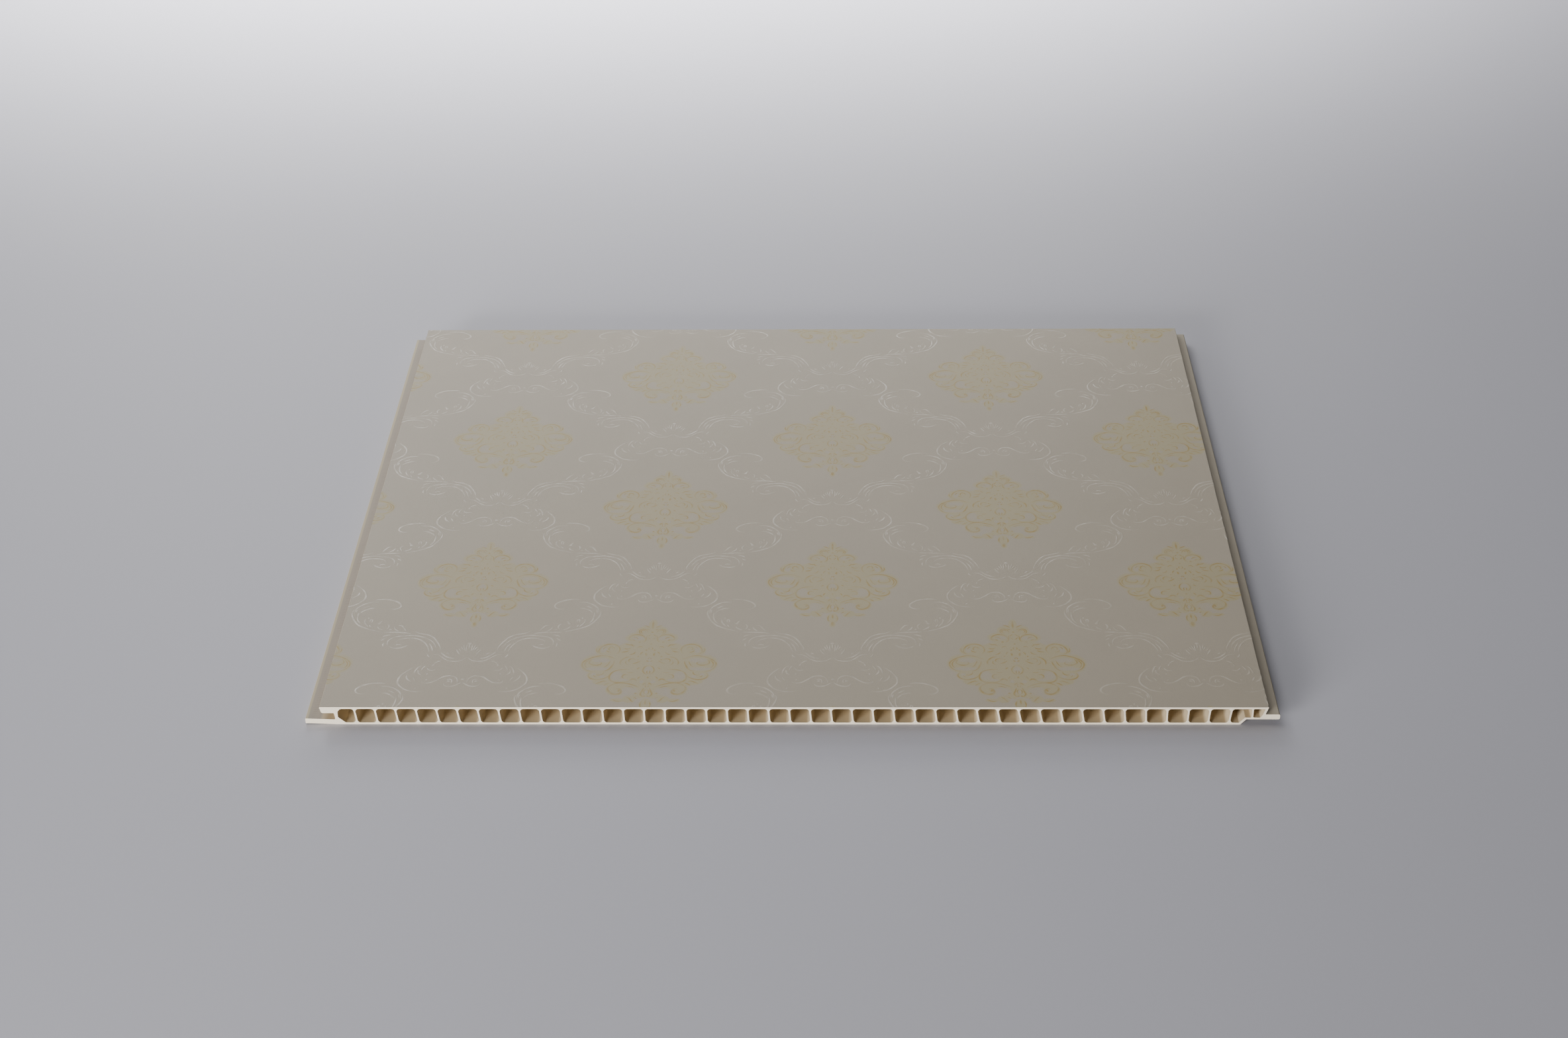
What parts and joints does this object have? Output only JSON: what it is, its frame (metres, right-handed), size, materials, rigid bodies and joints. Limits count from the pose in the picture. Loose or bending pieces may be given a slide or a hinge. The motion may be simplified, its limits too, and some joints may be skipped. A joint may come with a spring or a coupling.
{
  "type": "pvc wall panel",
  "caption": "Hollow extruded wall panel with upright cells, a groove and nailing flange on one edge, a tongue over a recess on the other, and a pearl film face with gilt scrolls.",
  "frame": {"origin": "middle of the outline seen from above, on the back of the panel", "axes": "+X across the panel from the groove and nailing flange to the tongue, +Y along the cells away from the shown cut end, +Z from the back to the decorated face"},
  "size_m": [0.4114, 0.35, 0.0087],
  "materials": {
    "pvc": "cream rigid PVC, saw-cut at the ends; the face carries a satin pearl film with gilt ornament"
  },
  "bodies": {
    "root": {"wall_panel": "pvc"}
  },
  "joints": []
}
